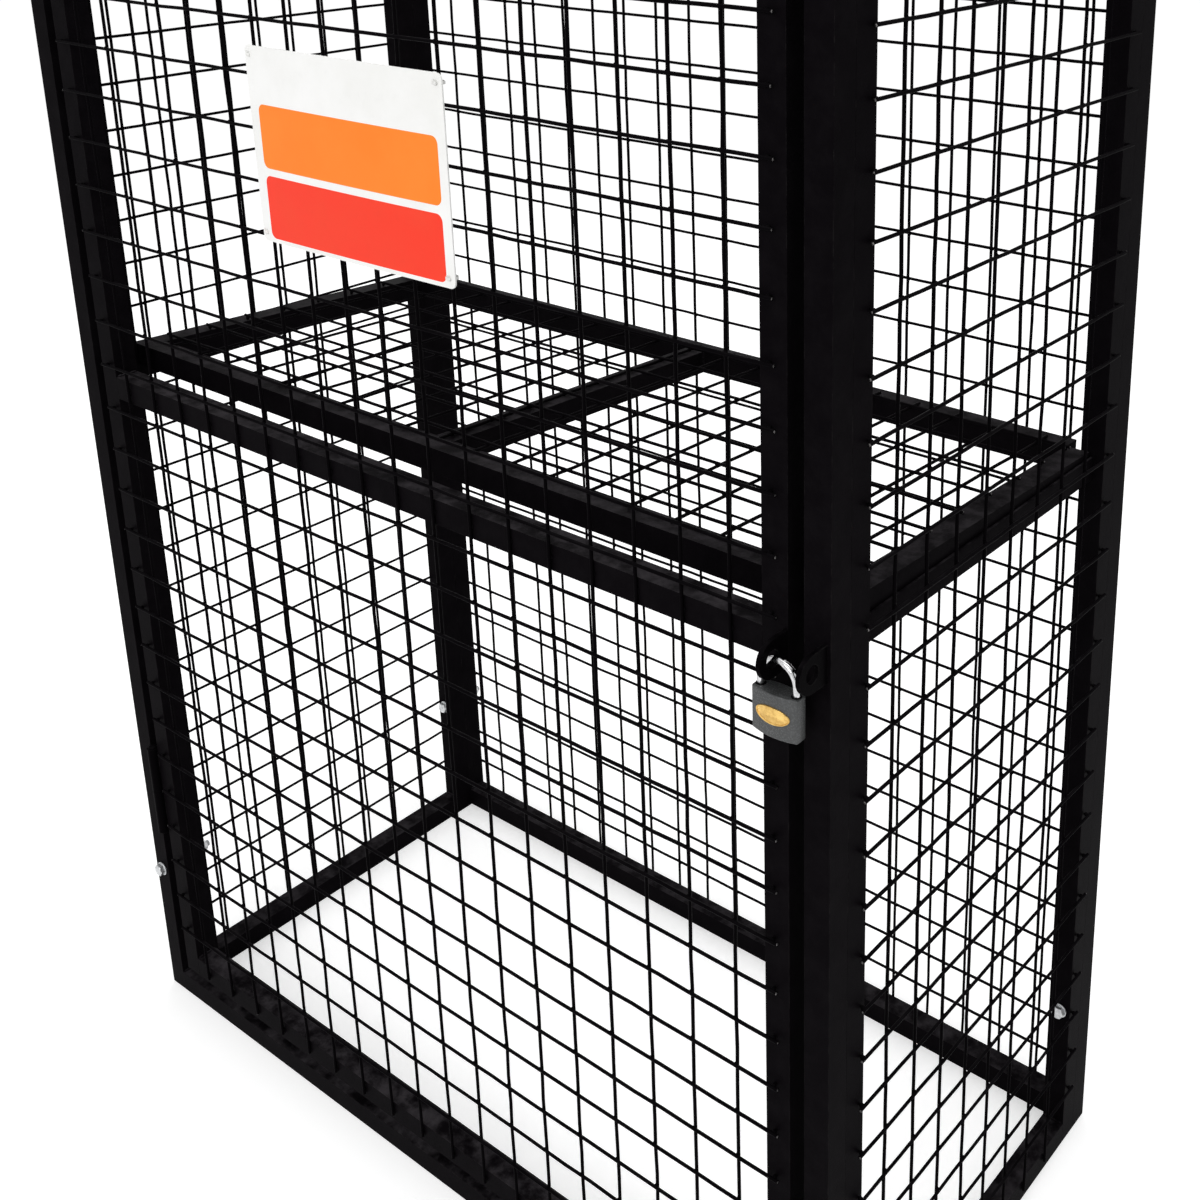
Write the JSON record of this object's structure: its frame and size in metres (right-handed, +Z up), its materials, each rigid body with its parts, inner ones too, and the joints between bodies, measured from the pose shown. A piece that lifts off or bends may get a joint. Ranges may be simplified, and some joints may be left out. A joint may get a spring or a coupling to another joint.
{
  "type": "gas cylinder cage",
  "caption": "Lockable black steel mesh cage for storing gas cylinders, with a hinged mesh front door, an inner mesh shelf that slopes to the back, a padlock and a bare sign plate",
  "frame": {"origin": "on the floor, under the middle of the whole, lock included", "axes": "+Z up, the door faces -Y, its hinges are at -X and its lock at +X"},
  "size_m": [1.0432, 0.5416, 1.6516],
  "materials": {
    "frame_paint": "satin black powder coat on the front frame and door",
    "panel_paint": "satin black powder coat on square bar",
    "mesh_paint": "satin black powder coat on welded wire",
    "lug_paint": "satin black powder coat on welded fittings",
    "lock_body": "dark grey hammered lacquer",
    "lock_chrome": "polished chrome plating",
    "lock_brass": "polished brass",
    "sign_white": "white rigid plastic sheet"
  },
  "bodies": {
    "cage": {"front_post_left": "frame_paint", "front_post_right": "frame_paint", "front_rail_bottom": "frame_paint", "front_rail_top": "frame_paint", "hinge_lower_frame": "lug_paint", "hinge_upper_frame": "lug_paint", "lock_lug_frame": "lug_paint", "rear_mesh_lower": "mesh_paint", "rear_mesh_upper": "mesh_paint", "rear_post_left": "panel_paint", "rear_post_right": "panel_paint", "rear_rail_bottom": "panel_paint", "rear_rail_top": "panel_paint", "roof_mesh": "mesh_paint", "shelf_bar": "panel_paint", "shelf_mesh": "mesh_paint", "shelf_rail_front": "panel_paint", "shelf_rail_left": "panel_paint", "shelf_rail_rear": "panel_paint", "shelf_rail_right": "panel_paint", "shelf_support_left": "panel_paint", "shelf_support_right": "panel_paint", "side_mesh_left": "mesh_paint", "side_mesh_right": "mesh_paint", "side_rail_bottom_left": "panel_paint", "side_rail_bottom_right": "panel_paint", "side_rail_top_left": "panel_paint", "side_rail_top_right": "panel_paint", "side_stile_front_left": "panel_paint", "side_stile_front_right": "panel_paint", "side_stile_rear_left": "panel_paint", "side_stile_rear_right": "panel_paint"},
    "door": {"door_mesh_lower": "mesh_paint", "door_mesh_upper": "mesh_paint", "door_rail_bottom": "frame_paint", "door_rail_mid": "frame_paint", "door_rail_top": "frame_paint", "door_stile_hinge": "frame_paint", "door_stile_lock": "frame_paint", "hinge_lower_door": "lug_paint", "hinge_upper_door": "lug_paint", "lock_lug_door": "lug_paint", "padlock_badge": "lock_brass", "padlock_body": "lock_body", "padlock_shackle": "lock_chrome", "sign_plate": "sign_white"}
  },
  "joints": [
    {"name": "door_hinge", "type": "hinge", "parent": "cage", "child": "door", "pos_m": [-0.4825, -0.2378, 0.8225], "axis": [0, 0, -1], "range_deg": [0, 110]}
  ]
}
